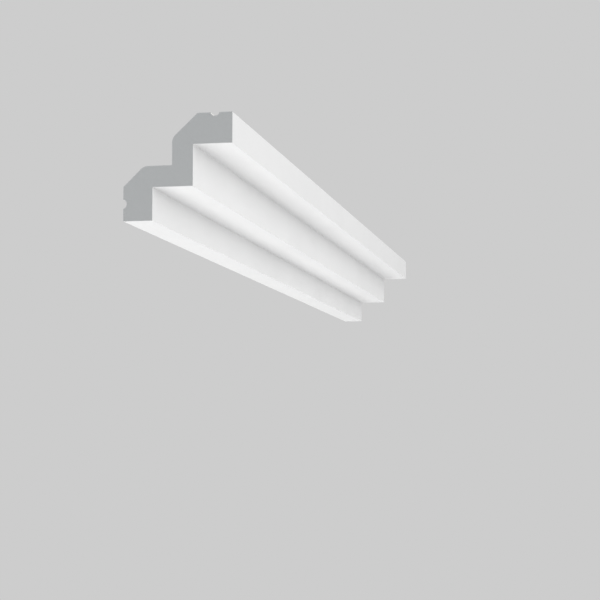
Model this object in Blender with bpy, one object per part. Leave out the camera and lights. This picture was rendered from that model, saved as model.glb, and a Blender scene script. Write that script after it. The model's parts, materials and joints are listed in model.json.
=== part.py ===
"""Three-step cornice moulding, one straight length in rigid foam, cut square at both ends.

Units are metres, +Z up. The length runs along X. The upright glued face lies in the plane Y = 0, the
steps look towards -Y and down, and the other glued face is the top. The origin is on the upright glued
face, at mid-length, in the middle of the flat strip below its groove.
"""

import math

import bpy
from mathutils import Vector

# Overall size
LENGTH = 1.380
HEIGHT = 0.110
PROJECTION = 0.115

# Front steps, from the top down
TOP_NOSE_HEIGHT = 0.0322
MIDDLE_NOSE_HEIGHT = 0.0432
MIDDLE_PROJECTION = 0.0737
BOTTOM_PROJECTION = 0.0311
BOTTOM_NOSE_HEIGHT = HEIGHT - TOP_NOSE_HEIGHT - MIDDLE_NOSE_HEIGHT

# Back: the web follows the steps, and two chamfers run out to the faces that take the glue
WEB = 0.0222
UPRIGHT_FACE_HEIGHT = 0.0358
TOP_FACE_WIDTH = 0.0368
LOWER_CHAMFER_RUN = 0.0216
UPPER_CHAMFER_DROP = 0.0250

# Glue grooves, one along the middle of each glued face
GROOVE_MOUTH = 0.0094
GROOVE_DEPTH = 0.0037

# Radii of the edges
ARRIS_RADIUS = 0.0005
STEP_CORNER_RADIUS = 0.0006
BACK_SHOULDER_RADIUS = 0.0110
BACK_CORNER_RADIUS = 0.0013

# Segments of each round stretch
ARRIS_STEPS = 3
SHOULDER_STEPS = 10
GROOVE_STEPS = 14

# Height of the origin above the underside: the middle of the strip below the upright face's groove
DATUM_HEIGHT = (UPRIGHT_FACE_HEIGHT - GROOVE_MOUTH) / 4

# Finish
WHITE_PRIMER = (0.84, 0.84, 0.83, 1.0)
PRIMER_ROUGHNESS = 0.55


def clear_scene():
    """Remove every object, so that the model is all the scene holds."""
    for item in list(bpy.data.objects):
        bpy.data.objects.remove(item, do_unlink=True)


def rounded_corner(before, corner, after, radius, steps):
    """Points of the arc of this radius that joins the two sides of a corner."""
    towards_before = (before - corner).normalized()
    towards_after = (after - corner).normalized()
    half_angle = towards_before.angle(towards_after) / 2
    bisector = (towards_before + towards_after).normalized()
    centre = corner + bisector * (radius / math.sin(half_angle))
    start = corner + towards_before * (radius / math.tan(half_angle)) - centre
    end = corner + towards_after * (radius / math.tan(half_angle)) - centre
    sweep = math.pi - 2 * half_angle
    points = []
    for step in range(steps + 1):
        along = step / steps
        from_start = math.sin((1 - along) * sweep) / math.sin(sweep)
        from_end = math.sin(along * sweep) / math.sin(sweep)
        points.append(centre + start * from_start + end * from_end)
    return points


def groove(middle, along, inward):
    """Points of a round-bottomed groove, in the direction along, its bottom in the direction inward."""
    half_mouth = GROOVE_MOUTH / 2
    radius = (half_mouth**2 + GROOVE_DEPTH**2) / (2 * GROOVE_DEPTH)
    half_sweep = math.asin(half_mouth / radius)
    centre = middle - inward * (radius - GROOVE_DEPTH)
    points = []
    for step in range(GROOVE_STEPS + 1):
        angle = half_sweep * (2 * step / GROOVE_STEPS - 1)
        spoke = along * math.sin(angle) + inward * math.cos(angle)
        points.append(centre + spoke * radius)
    return points


def section_corners():
    """Corners of the section from the foot of the upright glued face, round by the steps.

    Each has its place, its radius, its segments and the points of a groove in the side that follows it.
    A place is the distance out from the upright glued face, and the height above the underside.
    """
    outwards = Vector((1, 0))
    down = Vector((0, -1))
    top_soffit = BOTTOM_NOSE_HEIGHT + MIDDLE_NOSE_HEIGHT
    back_face = MIDDLE_PROJECTION - WEB
    back_shelf = BOTTOM_NOSE_HEIGHT + WEB
    top_groove = groove(Vector((PROJECTION - TOP_FACE_WIDTH / 2, HEIGHT)), -outwards, down)
    upright_groove = groove(Vector((0, UPRIGHT_FACE_HEIGHT / 2)), down, outwards)
    return [
        ((0, 0), ARRIS_RADIUS, ARRIS_STEPS, []),
        ((BOTTOM_PROJECTION, 0), ARRIS_RADIUS, ARRIS_STEPS, []),
        ((BOTTOM_PROJECTION, BOTTOM_NOSE_HEIGHT), STEP_CORNER_RADIUS, ARRIS_STEPS, []),
        ((MIDDLE_PROJECTION, BOTTOM_NOSE_HEIGHT), ARRIS_RADIUS, ARRIS_STEPS, []),
        ((MIDDLE_PROJECTION, top_soffit), STEP_CORNER_RADIUS, ARRIS_STEPS, []),
        ((PROJECTION, top_soffit), ARRIS_RADIUS, ARRIS_STEPS, []),
        ((PROJECTION, HEIGHT), ARRIS_RADIUS, ARRIS_STEPS, top_groove),
        ((PROJECTION - TOP_FACE_WIDTH, HEIGHT), ARRIS_RADIUS, ARRIS_STEPS, []),
        ((back_face, HEIGHT - UPPER_CHAMFER_DROP), BACK_SHOULDER_RADIUS, SHOULDER_STEPS, []),
        ((back_face, back_shelf), BACK_CORNER_RADIUS, ARRIS_STEPS, []),
        ((LOWER_CHAMFER_RUN, back_shelf), BACK_SHOULDER_RADIUS, SHOULDER_STEPS, []),
        ((0, UPRIGHT_FACE_HEIGHT), ARRIS_RADIUS, ARRIS_STEPS, upright_groove),
    ]


def section_outline():
    """The whole closed outline, with its corners rounded and a groove in each glued face."""
    corners = section_corners()
    places = [Vector(corner[0]) for corner in corners]
    outline = []
    for index, (_, radius, steps, groove_points) in enumerate(corners):
        before = places[index - 1]
        after = places[(index + 1) % len(places)]
        outline += rounded_corner(before, places[index], after, radius, steps)
        outline += groove_points
    return outline


def white_foam():
    """Satin white primer on rigid foam."""
    material = bpy.data.materials.new("white_primed_foam")
    material.use_nodes = True
    shader = material.node_tree.nodes["Principled BSDF"]
    shader.inputs["Base Color"].default_value = WHITE_PRIMER
    shader.inputs["Roughness"].default_value = PRIMER_ROUGHNESS
    shader.inputs["Metallic"].default_value = 0.0
    return material


def cornice_moulding(collection):
    """The section, drawn as a flat outline and given its length along X."""
    curve = bpy.data.curves.new("cornice_moulding", "CURVE")
    curve.dimensions = "2D"
    curve.fill_mode = "BOTH"
    curve.extrude = LENGTH / 2
    outline = section_outline()
    spline = curve.splines.new("POLY")
    spline.points.add(len(outline) - 1)
    for point, place in zip(spline.points, outline):
        point.co = (place.x, place.y - DATUM_HEIGHT, 0.0, 1.0)
    spline.use_cyclic_u = True
    curve.materials.append(white_foam())
    moulding = bpy.data.objects.new("cornice_moulding", curve)
    # Turned so that the outline's first direction points out over the steps and its second one up
    moulding.rotation_euler = (math.radians(90), 0.0, math.radians(-90))
    collection.objects.link(moulding)
    return moulding


def main():
    clear_scene()
    collection = bpy.data.collections.new("cornice_moulding_length")
    bpy.context.scene.collection.children.link(collection)
    cornice_moulding(collection)


main()
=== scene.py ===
"""Finish, stage, light and camera for the cornice moulding length.

Metres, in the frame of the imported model: the length runs along X, the upright glued face lies in the
plane Y = 0, the steps look towards -Y and down, and the other glued face is the top. The cut end that the
camera sees is the one at -X.
"""

import json
import math

import bmesh
import bpy
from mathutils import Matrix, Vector, noise
from mathutils.geometry import delaunay_2d_cdt

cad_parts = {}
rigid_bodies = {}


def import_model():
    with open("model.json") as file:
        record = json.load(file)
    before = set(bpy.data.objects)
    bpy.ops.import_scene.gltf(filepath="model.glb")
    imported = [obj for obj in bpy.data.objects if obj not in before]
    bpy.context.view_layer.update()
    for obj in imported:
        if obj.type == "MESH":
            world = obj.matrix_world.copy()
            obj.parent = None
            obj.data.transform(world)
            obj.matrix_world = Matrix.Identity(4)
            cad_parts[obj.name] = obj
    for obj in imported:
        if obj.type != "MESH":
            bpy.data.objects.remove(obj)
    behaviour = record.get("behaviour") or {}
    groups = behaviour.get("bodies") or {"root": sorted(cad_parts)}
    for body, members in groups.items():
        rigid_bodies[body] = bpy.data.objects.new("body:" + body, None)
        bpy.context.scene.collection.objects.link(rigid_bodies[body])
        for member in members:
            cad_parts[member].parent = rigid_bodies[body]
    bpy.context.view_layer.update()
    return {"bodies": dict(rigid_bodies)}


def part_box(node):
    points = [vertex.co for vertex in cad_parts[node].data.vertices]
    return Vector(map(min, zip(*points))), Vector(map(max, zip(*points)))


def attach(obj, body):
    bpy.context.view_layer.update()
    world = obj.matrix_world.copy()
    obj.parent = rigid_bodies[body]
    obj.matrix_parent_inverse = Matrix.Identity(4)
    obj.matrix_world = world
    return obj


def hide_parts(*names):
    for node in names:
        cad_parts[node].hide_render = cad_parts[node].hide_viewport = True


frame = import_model()

# The solid's box gives the overall size and the places of the ends, the upright face and the underside
BODY = next(iter(frame["bodies"]))
LOW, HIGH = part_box("cornice_moulding")
HEIGHT = HIGH.z - LOW.z
PROJECTION = HIGH.y - LOW.y
UNDERSIDE = LOW.z

# Front steps, from the top down
TOP_NOSE_HEIGHT = 0.0322
MIDDLE_NOSE_HEIGHT = 0.0432
MIDDLE_PROJECTION = 0.0737
BOTTOM_PROJECTION = 0.0311
BOTTOM_NOSE_HEIGHT = HEIGHT - TOP_NOSE_HEIGHT - MIDDLE_NOSE_HEIGHT

# Back, with its chamfers and the faces that take the glue
WEB = 0.0222
UPRIGHT_FACE_HEIGHT = 0.0358
TOP_FACE_WIDTH = 0.0368
LOWER_CHAMFER_RUN = 0.0216
UPPER_CHAMFER_DROP = 0.0250
GROOVE_MOUTH = 0.0094
GROOVE_DEPTH = 0.0037

# Radii of the edges and the segments of each round stretch
ARRIS_RADIUS = 0.0005
STEP_CORNER_RADIUS = 0.0006
BACK_SHOULDER_RADIUS = 0.0110
BACK_CORNER_RADIUS = 0.0013
SMALLEST_RADIUS = 0.0001
ARRIS_STEPS = 6
SHOULDER_STEPS = 16
GROOVE_STEPS = 24

# Mesh along the length and across the back
STATION_SPACING = 0.006
BACK_SPACING = 0.0045

# Sawn ends: a fine broken edge, the dense skin, and the core a little lower inside it
SAWN_EDGE = 0.00015
SKIN = 0.0009
CORE_STEP = 0.00012

# The core's net of even triangles, with their angle in degrees
CORE_SPACING = 0.0009
CORE_ANGLE = 60

# Relief of the core: its cells, and the saw's waves with their slant across the section
CELL_DEPTH = 0.00010
CELL_WAVE = 0.0028
SAW_DEPTH = 0.00003
SAW_WAVE = 0.0060
SAW_OUTWARDS = 0.8
SAW_UPWARDS = 0.6

# How an end is cut into triangles: only inside its border, joining points closer than the merge distance
INSIDE_BORDER = 1
MERGE_DISTANCE = 1e-7

# The moulded back is very slightly uneven, but not at its borders or at the sawn ends
BACK_UNEVENNESS = 0.00025
BACK_WAVE = 0.035
BORDER_FADE = 0.012
END_FADE = 0.030

# Faces that meet at a larger angle than this, in degrees, keep a crisp edge
SHARP_ANGLE = 35

# Material slots of the surfaces
SLOTS = {"front": 0, "top_face": 1, "upright_face": 1, "back": 1, "core": 2, "skin": 3}

# Each material below has a low and a high colour, which its pattern mixes between the two values of its
# band. The scales are waves or cells to the metre, and the bumps' heights are in metres.

# White primer: cloudy tone, uneven sheen and orange peel
PRIMER_LOW = (0.816, 0.817, 0.817, 1.0)
PRIMER_HIGH = (0.836, 0.837, 0.837, 1.0)
PRIMER_SCALE = 9.0
PRIMER_BAND = (0.35, 0.65)
PRIMER_SHEEN_SCALE = 60.0
PRIMER_ROUGHNESS = (0.46, 0.54)
PEEL_SCALE = 700.0
PEEL_DETAIL = 1.0
PEEL_HEIGHT = 0.00018

# Moulded back: mottled tone, uneven sheen and fine roughness
BACK_LOW = (0.775, 0.77, 0.75, 1.0)
BACK_HIGH = (0.815, 0.81, 0.795, 1.0)
BACK_SCALE = 28.0
BACK_DETAIL = 5.0
BACK_CONTRAST = 0.6
BACK_BAND = (0.3, 0.7)
BACK_SHEEN_SCALE = 110.0
BACK_ROUGHNESS = (0.62, 0.78)
BACK_BUMP_SCALE = 420.0
BACK_BUMP_DETAIL = 3.0
BACK_BUMP_HEIGHT = 0.00025

# Sawn core: fine open cells, darker than the foam itself as painted shade, darkest in each cell's hollow
CORE_SHADED_LOW = (0.375, 0.386, 0.391, 1.0)
CORE_SHADED_HIGH = (0.431, 0.444, 0.450, 1.0)
CORE_SCALE = 2600.0
CORE_BAND = (0.15, 0.60)
CORE_ROUGHNESS = 0.85
CORE_SPECULAR = 0.3
CORE_BUMP_HEIGHT = 0.00006

# Cut skin: closer and a little lighter than the core, and darkened with it as painted shade
SKIN_SHADED_LOW = (0.429, 0.442, 0.447, 1.0)
SKIN_SHADED_HIGH = (0.451, 0.463, 0.469, 1.0)
SKIN_SCALE = 1300.0
SKIN_BAND = (0.3, 0.7)
SKIN_ROUGHNESS = 0.7

# Radiance of the soft boxes
FRONT_LIGHT = 1.45
LOW_LIGHT = 1.25
BACK_LIGHT = 1.9
END_LIGHT = 1.7
SIDE_LIGHT = 3.5

# Camera, placed from the cut end, the upright face and the underside, with its angles in degrees
CAMERA_BEFORE_END = 1.560
CAMERA_IN_FRONT = 0.4915
CAMERA_BELOW = 0.2264
CAMERA_TURN = 11.113
CAMERA_PITCH = 5.114
LENS = 95.85
SENSOR = 36.0

# Stage
BACKDROP = 0.61
FLOOR_DROP = 2.4
FLOOR_RADIUS = 18.0
FLOOR_SIDES = 96
FLOOR_ALBEDO = 0.3


def section_corners():
    """Corners of the section from the foot of the upright glued face, round by the steps.

    Each has its place, its radius, its segments and the surface that follows it. A place is the distance
    out from the upright glued face, and the height above the underside.
    """
    top_soffit = BOTTOM_NOSE_HEIGHT + MIDDLE_NOSE_HEIGHT
    back_face = MIDDLE_PROJECTION - WEB
    back_shelf = BOTTOM_NOSE_HEIGHT + WEB
    top_inner = PROJECTION - TOP_FACE_WIDTH
    return [
        ((0, 0), ARRIS_RADIUS, ARRIS_STEPS, "front"),
        ((BOTTOM_PROJECTION, 0), ARRIS_RADIUS, ARRIS_STEPS, "front"),
        ((BOTTOM_PROJECTION, BOTTOM_NOSE_HEIGHT), STEP_CORNER_RADIUS, ARRIS_STEPS, "front"),
        ((MIDDLE_PROJECTION, BOTTOM_NOSE_HEIGHT), ARRIS_RADIUS, ARRIS_STEPS, "front"),
        ((MIDDLE_PROJECTION, top_soffit), STEP_CORNER_RADIUS, ARRIS_STEPS, "front"),
        ((PROJECTION, top_soffit), ARRIS_RADIUS, ARRIS_STEPS, "front"),
        ((PROJECTION, HEIGHT), ARRIS_RADIUS, ARRIS_STEPS, "top_face"),
        ((top_inner, HEIGHT), ARRIS_RADIUS, ARRIS_STEPS, "back"),
        ((back_face, HEIGHT - UPPER_CHAMFER_DROP), BACK_SHOULDER_RADIUS, SHOULDER_STEPS, "back"),
        ((back_face, back_shelf), BACK_CORNER_RADIUS, ARRIS_STEPS, "back"),
        ((LOWER_CHAMFER_RUN, back_shelf), BACK_SHOULDER_RADIUS, SHOULDER_STEPS, "back"),
        ((0, UPRIGHT_FACE_HEIGHT), ARRIS_RADIUS, ARRIS_STEPS, "upright_face"),
    ]


def inward_normal(start, end):
    """Unit normal on the left of the way from start to end, which is the solid's side."""
    way = (end - start).normalized()
    return Vector((-way.y, way.x))


def inset_corner(before, corner, after, inset):
    """The corner moved in by the same distance from both of its sides."""
    first = inward_normal(before, corner)
    second = inward_normal(corner, after)
    return corner + (first + second) * (inset / (1 + first.dot(second)))


def rounded_corner(corner, towards_before, towards_after, radius, steps):
    """Points of the arc of this radius that joins the two sides of a corner."""
    half_angle = towards_before.angle(towards_after) / 2
    bisector = (towards_before + towards_after).normalized()
    centre = corner + bisector * (radius / math.sin(half_angle))
    start = corner + towards_before * (radius / math.tan(half_angle)) - centre
    end = corner + towards_after * (radius / math.tan(half_angle)) - centre
    sweep = math.pi - 2 * half_angle
    points = []
    for step in range(steps + 1):
        along = step / steps
        from_start = math.sin((1 - along) * sweep) / math.sin(sweep)
        from_end = math.sin(along * sweep) / math.sin(sweep)
        points.append(centre + start * from_start + end * from_end)
    return points


def groove(middle, along, inward, inset):
    """Points of a round-bottomed groove, in the direction along, its bottom in the direction inward."""
    half_mouth = GROOVE_MOUTH / 2
    radius = (half_mouth**2 + GROOVE_DEPTH**2) / (2 * GROOVE_DEPTH)
    rise = radius - GROOVE_DEPTH
    half_sweep = math.acos((rise + inset) / (radius + inset))
    centre = middle - inward * rise
    points = []
    for step in range(GROOVE_STEPS + 1):
        angle = half_sweep * (2 * step / GROOVE_STEPS - 1)
        spoke = along * math.sin(angle) + inward * math.cos(angle)
        points.append(centre + spoke * (radius + inset))
    return points


def corner_arcs(inset):
    """The arc of each corner, on the section moved in by the inset."""
    corners = [(Vector(place), radius, steps) for place, radius, steps, _ in section_corners()]
    arcs = []
    for index, (corner, radius, steps) in enumerate(corners):
        before = corners[index - 1][0]
        after = corners[(index + 1) % len(corners)][0]
        convex = (corner - before).cross(after - corner) > 0
        fitted = max(radius - inset, SMALLEST_RADIUS) if convex else radius + inset
        moved = inset_corner(before, corner, after, inset)
        towards_before = (before - corner).normalized()
        towards_after = (after - corner).normalized()
        arcs.append(rounded_corner(moved, towards_before, towards_after, fitted, steps))
    return arcs


def stretch(surface, start, end, parts, inset):
    """Points between two arcs: a groove in a glued face, even points on the back, none on the front."""
    if surface == "top_face":
        middle = Vector((PROJECTION - TOP_FACE_WIDTH / 2, HEIGHT))
        return groove(middle, Vector((-1, 0)), Vector((0, -1)), inset)
    if surface == "upright_face":
        middle = Vector((0, UPRIGHT_FACE_HEIGHT / 2))
        return groove(middle, Vector((0, -1)), Vector((1, 0)), inset)
    if surface == "back":
        return [start.lerp(end, part / parts) for part in range(1, parts)]
    return []


def outline(inset=0.0):
    """The closed section, moved in by the inset: its points, and the surface that follows each one."""
    places = [Vector(corner[0]) for corner in section_corners()]
    following = [corner[3] for corner in section_corners()]
    arcs = corner_arcs(inset)
    points = []
    surfaces = []
    for index, (arc, surface) in enumerate(zip(arcs, following)):
        after = (index + 1) % len(arcs)
        # The arc at the end of a front side is finished with it
        edge = "front" if following[index - 1] == "front" else surface
        parts = round((places[after] - places[index]).length / BACK_SPACING)
        straight = stretch(surface, arc[-1], arcs[after][0], parts, inset)
        points += arc + straight
        surfaces += [edge] * (len(arc) - 1) + [surface] * (len(straight) + 1)
    return points, surfaces


def in_row(x, point):
    """A point of the section, at this place along the length, in the row's frame."""
    return Vector((x, -point.x, UNDERSIDE + point.y))


def from_zero(wave):
    """A wave between -1 and 1, moved to lie between 0 and 1."""
    return (1 + wave) / 2


def smooth_step(value):
    """0 below 0, 1 above 1, and an even ease between."""
    held = min(max(value, 0.0), 1.0)
    return held * held * (3 - 2 * held)


def even_stations():
    """Places along the length, from one sawn edge to the other."""
    start = LOW.x + SAWN_EDGE
    end = HIGH.x - SAWN_EDGE
    count = round((end - start) / STATION_SPACING)
    return [start + (end - start) * step / count for step in range(count + 1)]


def back_weights(points, surfaces):
    """How much of the back's unevenness each point takes: none at the back's two borders."""
    on_back = [index for index, surface in enumerate(surfaces) if surface == "back"]
    borders = (points[on_back[0]], points[on_back[-1] + 1])
    weights = [0.0] * len(points)
    for index in on_back:
        from_border = min((points[index] - border).length for border in borders)
        weights[index] = smooth_step(from_border / BORDER_FADE)
    return weights


def back_relief(x, point):
    """How far the slightly uneven moulded back lies under its true plane here."""
    fade = smooth_step(min(x - LOW.x, HIGH.x - x) / END_FADE)
    wave = noise.noise(Vector((x, point.x, point.y)) / BACK_WAVE)
    return BACK_UNEVENNESS * fade * from_zero(wave)


def add_ring(mesh, x, points):
    """One ring of vertices round the section."""
    return [mesh.verts.new(in_row(x, point)) for point in points]


def join_rings(mesh, first, second, slots):
    """A band of quads between two rings, with each quad's material slot."""
    count = len(first)
    for index in range(count):
        after = (index + 1) % count
        face = mesh.faces.new((first[index], first[after], second[after], second[index]))
        face.material_index = slots[index]


def inside(point, polygon):
    """Whether a point is inside a closed polygon."""
    odd = False
    for index, start in enumerate(polygon):
        end = polygon[index - 1]
        if (start.y > point.y) != (end.y > point.y):
            crossing = start.x + (end.x - start.x) * (point.y - start.y) / (end.y - start.y)
            if point.x < crossing:
                odd = not odd
    return odd


def core_grid():
    """Evenly spread points over the core of the section, in staggered rows, clear of its border."""
    border = outline(SKIN + CORE_SPACING / 2)[0]
    row_step = CORE_SPACING * math.sin(math.radians(CORE_ANGLE))
    spots = []
    for row in range(int(HEIGHT / row_step)):
        shift = CORE_SPACING / 2 * (row % 2)
        for column in range(int(PROJECTION / CORE_SPACING)):
            spot = Vector((column * CORE_SPACING + shift, row * row_step))
            if inside(spot, border):
                spots.append(spot)
    return spots


def core_relief(point, end_seed):
    """Depth of the sawn core's surface below its plane: open cells and the faint wave of the saw."""
    cells = noise.noise(Vector((point.x, point.y, end_seed)) / CELL_WAVE)
    along_saw = point.x * SAW_OUTWARDS + point.y * SAW_UPWARDS
    saw = math.sin(2 * math.pi * along_saw / SAW_WAVE)
    return CELL_DEPTH * from_zero(cells) + SAW_DEPTH * from_zero(saw)


def cap_end(mesh, border_ring, border, spots, x, inward):
    """Close an end with the sawn core, a fine net of triangles inside the border ring."""
    count = len(border)
    edges = [(index, (index + 1) % count) for index in range(count)]
    net = delaunay_2d_cdt(border + spots, edges, [], INSIDE_BORDER, MERGE_DISTANCE)
    flat, _, triangles, origins, _, _ = net
    vertices = []
    for point, origin in zip(flat, origins):
        if origin[0] < count:
            vertices.append(border_ring[origin[0]])
        else:
            depth = CORE_STEP + core_relief(point, x)
            vertices.append(mesh.verts.new(in_row(x + inward * depth, point)))
    for triangle in triangles:
        face = mesh.faces.new([vertices[corner] for corner in triangle])
        face.material_index = SLOTS["core"]


def sawn_end(mesh, last_ring, x, inward, spots):
    """One cut end: its fine broken edge, the ring of dense skin, and the core a little lower."""
    count = len(last_ring)
    edge_points = outline(SAWN_EDGE)[0]
    skin_points = outline(SKIN)[0]
    edge_ring = add_ring(mesh, x, edge_points)
    skin_ring = add_ring(mesh, x, skin_points)
    core_ring = add_ring(mesh, x + inward * CORE_STEP, skin_points)
    join_rings(mesh, last_ring, edge_ring, [SLOTS["skin"]] * count)
    join_rings(mesh, edge_ring, skin_ring, [SLOTS["skin"]] * count)
    join_rings(mesh, skin_ring, core_ring, [SLOTS["core"]] * count)
    cap_end(mesh, core_ring, skin_points, spots, x, inward)


def long_rings(mesh, points, surfaces):
    """The section's ring at each station along the length, with the back's unevenness in it."""
    count = len(points)
    normals = [inward_normal(points[index - 1], points[(index + 1) % count]) for index in range(count)]
    weights = back_weights(points, surfaces)
    rings = []
    for x in even_stations():
        moved = [
            point + normal * (weight * back_relief(x, point))
            for point, normal, weight in zip(points, normals, weights)
        ]
        rings.append(add_ring(mesh, x, moved))
    return rings


def moulding_mesh():
    """The whole moulding as one closed mesh, finer than the solid and inside its box."""
    mesh = bmesh.new()
    points, surfaces = outline()
    slots = [SLOTS[surface] for surface in surfaces]
    rings = long_rings(mesh, points, surfaces)
    for first, second in zip(rings, rings[1:]):
        join_rings(mesh, first, second, slots)
    spots = core_grid()
    sawn_end(mesh, rings[0], LOW.x, 1, spots)
    sawn_end(mesh, rings[-1], HIGH.x, -1, spots)
    bmesh.ops.recalc_face_normals(mesh, faces=mesh.faces)
    data = bpy.data.meshes.new("cornice_finish")
    mesh.to_mesh(data)
    mesh.free()
    return data


def finished_moulding():
    """The moulding as an object, with its shading and its four materials."""
    data = moulding_mesh()
    data.shade_smooth()
    data.set_sharp_from_angle(angle=math.radians(SHARP_ANGLE))
    for material in (primed_front(), moulded_back(), sawn_core(), dense_skin()):
        data.materials.append(material)
    piece = bpy.data.objects.new("cornice_finish", data)
    bpy.context.scene.collection.objects.link(piece)
    weighted = piece.modifiers.new("weighted_normals", "WEIGHTED_NORMAL")
    weighted.keep_sharp = True
    return piece


class Finish:
    """A material, with short ways to give its shader a pattern of colour, roughness or relief."""

    def __init__(self, name):
        self.material = bpy.data.materials.new(name)
        self.material.use_nodes = True
        self.tree = self.material.node_tree
        self.shader = self.tree.nodes["Principled BSDF"]

    def add(self, kind, **values):
        """A new node, with these values on its inputs."""
        node = self.tree.nodes.new(kind)
        for name, value in values.items():
            node.inputs[name].default_value = value
        return node

    def join(self, source, target):
        """A link from one node's output to another's input."""
        self.tree.links.new(source, target)

    def object_place(self):
        """The place of each point in the object's own space, in metres."""
        return self.add("ShaderNodeTexCoord").outputs["Object"]

    def grain(self, scale, detail=2.0, contrast=0.5):
        """Even noise in the object's own space, from 0 to 1."""
        texture = self.add("ShaderNodeTexNoise", Scale=scale, Detail=detail, Roughness=contrast)
        self.join(self.object_place(), texture.inputs["Vector"])
        return texture.outputs["Fac"]

    def cells(self, scale):
        """Small rounded cells: low in the middle of each and high along the borders between them."""
        texture = self.add("ShaderNodeTexVoronoi", Scale=scale)
        self.join(self.object_place(), texture.inputs["Vector"])
        return texture.outputs["Distance"]

    def tone(self, value, band, low, high):
        """The shader's colour: low at the start of the band of values, and high at its end."""
        ramp = self.add("ShaderNodeValToRGB")
        for element, position, colour in zip(ramp.color_ramp.elements, band, (low, high)):
            element.position = position
            element.color = colour
        self.join(value, ramp.inputs["Fac"])
        self.join(ramp.outputs["Color"], self.shader.inputs["Base Color"])

    def sheen(self, value, limits):
        """The shader's roughness, between these limits as the value goes from 0 to 1."""
        node = self.add("ShaderNodeMapRange")
        node.inputs["To Min"].default_value = limits[0]
        node.inputs["To Max"].default_value = limits[1]
        self.join(value, node.inputs["Value"])
        self.join(node.outputs["Result"], self.shader.inputs["Roughness"])

    def bump(self, value, height):
        """The shader's relief, of this height in metres where the value is 1."""
        node = self.add("ShaderNodeBump", Strength=1.0, Distance=height)
        self.join(value, node.inputs["Height"])
        self.join(node.outputs["Normal"], self.shader.inputs["Normal"])


def primed_front():
    """Satin white primer, with a faint orange peel."""
    paint = Finish("white_primer")
    paint.tone(paint.grain(PRIMER_SCALE), PRIMER_BAND, PRIMER_LOW, PRIMER_HIGH)
    paint.sheen(paint.grain(PRIMER_SHEEN_SCALE), PRIMER_ROUGHNESS)
    paint.bump(paint.grain(PEEL_SCALE, PEEL_DETAIL), PEEL_HEIGHT)
    return paint.material


def moulded_back():
    """The raw moulded skin of the hidden sides: duller, a little warmer, and mottled."""
    skin = Finish("moulded_back")
    skin.tone(skin.grain(BACK_SCALE, BACK_DETAIL, BACK_CONTRAST), BACK_BAND, BACK_LOW, BACK_HIGH)
    skin.sheen(skin.grain(BACK_SHEEN_SCALE), BACK_ROUGHNESS)
    skin.bump(skin.grain(BACK_BUMP_SCALE, BACK_BUMP_DETAIL), BACK_BUMP_HEIGHT)
    return skin.material


def sawn_core():
    """Sawn rigid foam: fine open cells in matt grey, darkened as painted shade and darkest in each cell's
    hollow.
    """
    foam = Finish("sawn_foam_painted_shade")
    cells = foam.cells(CORE_SCALE)
    # The low colour goes to the middle of each cell as painted shade in the hollows; the whole grey is
    # painted shade
    foam.tone(cells, CORE_BAND, CORE_SHADED_LOW, CORE_SHADED_HIGH)
    foam.bump(cells, CORE_BUMP_HEIGHT)
    foam.shader.inputs["Roughness"].default_value = CORE_ROUGHNESS
    foam.shader.inputs["Specular IOR Level"].default_value = CORE_SPECULAR
    return foam.material


def dense_skin():
    """The sawn dense skin, a little lighter and closer than the core and darkened with it as painted shade.
    """
    skin = Finish("cut_skin_painted_shade")
    # Both colours are darkened as painted shade of the cut end; being lighter than the core is the dense
    # skin's own
    skin.tone(skin.grain(SKIN_SCALE), SKIN_BAND, SKIN_SHADED_LOW, SKIN_SHADED_HIGH)
    skin.shader.inputs["Roughness"].default_value = SKIN_ROUGHNESS
    return skin.material


def grey(level):
    """A neutral colour of this brightness."""
    return (level, level, level, 1.0)


def world_light():
    """An even pale surround, which is also the backdrop."""
    world = bpy.data.worlds.new("studio")
    bpy.context.scene.world = world
    world.use_nodes = True
    surround = world.node_tree.nodes["Background"]
    surround.inputs["Color"].default_value = grey(BACKDROP)
    surround.inputs["Strength"].default_value = 1.0


def soft_box(name, place, tilt, turn, length, breadth, radiance):
    """A soft lamp that stays out of the picture.

    Its tilt raises its light from straight down towards +Y, and its turn is then about the vertical.
    """
    lamp = bpy.data.lights.new(name, "AREA")
    lamp.shape = "RECTANGLE"
    lamp.size = length
    lamp.size_y = breadth
    lamp.energy = radiance * math.pi * length * breadth
    holder = bpy.data.objects.new(name, lamp)
    bpy.context.scene.collection.objects.link(holder)
    holder.location = place
    holder.rotation_euler = (math.radians(tilt), 0, math.radians(turn))
    holder.visible_camera = False


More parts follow.
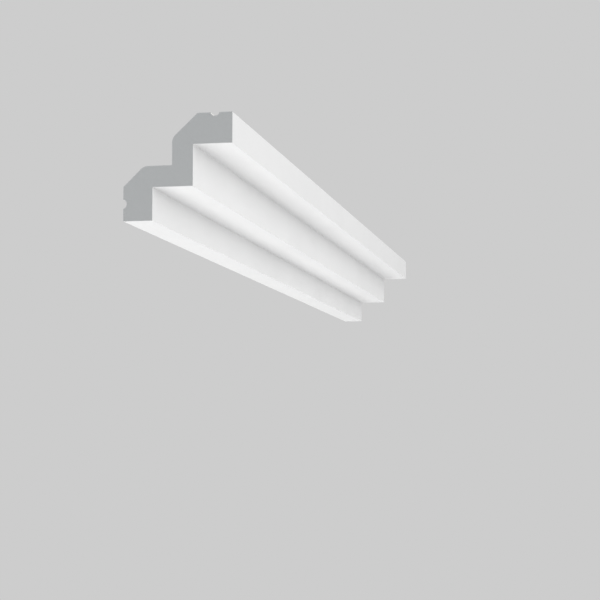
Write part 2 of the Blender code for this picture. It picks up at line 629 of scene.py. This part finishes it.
def lights():
    """Soft boxes: a wide one in front, one below that shines up, one above the back, two at the cut end."""
    soft_box(
        "front_light", place=(-0.8, -2.87, 1.09), tilt=70, turn=0,
        length=4.2, breadth=2.5, radiance=FRONT_LIGHT,
    )
    soft_box(
        "low_light", place=(-0.25, 0.5, -1.47), tilt=180, turn=0,
        length=4.7, breadth=1.2, radiance=LOW_LIGHT,
    )
    soft_box(
        "back_light", place=(0.3, 0.95, 1.9), tilt=-27, turn=0,
        length=3.0, breadth=1.2, radiance=BACK_LIGHT,
    )
    soft_box(
        "end_light", place=(-2.3, -1.9, 0.05), tilt=90, turn=-41,
        length=1.2, breadth=0.8, radiance=END_LIGHT,
    )
    soft_box(
        "side_light", place=(-3.9, 0.9, -1.2), tilt=90, turn=-90,
        length=1.4, breadth=1.4, radiance=SIDE_LIGHT,
    )


def floor():
    """A plain pale floor, well below the moulding."""
    bpy.ops.mesh.primitive_circle_add(vertices=FLOOR_SIDES, radius=FLOOR_RADIUS, fill_type="NGON")
    ground = bpy.context.object
    ground.name = "floor"
    ground.location.z = UNDERSIDE - FLOOR_DROP
    plain = Finish("floor")
    plain.shader.inputs["Base Color"].default_value = grey(FLOOR_ALBEDO)
    plain.shader.inputs["Roughness"].default_value = 1.0
    plain.shader.inputs["Specular IOR Level"].default_value = 0.0
    # What the floor doesn't reflect of the surround it gives off, so that no horizon shows
    plain.shader.inputs["Emission Color"].default_value = grey(BACKDROP)
    plain.shader.inputs["Emission Strength"].default_value = 1 - FLOOR_ALBEDO
    ground.data.materials.append(plain.material)


def camera():
    """The photograph's view: from below, along the length, from before the cut end."""
    lens = bpy.data.cameras.new("camera")
    lens.lens = LENS
    lens.sensor_width = SENSOR
    eye = bpy.data.objects.new("camera", lens)
    bpy.context.scene.collection.objects.link(eye)
    eye.location = (LOW.x - CAMERA_BEFORE_END, HIGH.y - CAMERA_IN_FRONT, UNDERSIDE - CAMERA_BELOW)
    # Without its pitch and its turn it would look level along +X
    eye.rotation_euler = (math.radians(90 + CAMERA_PITCH), 0, math.radians(CAMERA_TURN - 90))
    bpy.context.scene.camera = eye


bpy.context.scene.view_settings.view_transform = "Standard"
camera()
world_light()
lights()
floor()
moulding = finished_moulding()
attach(moulding, BODY)
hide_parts("cornice_moulding")
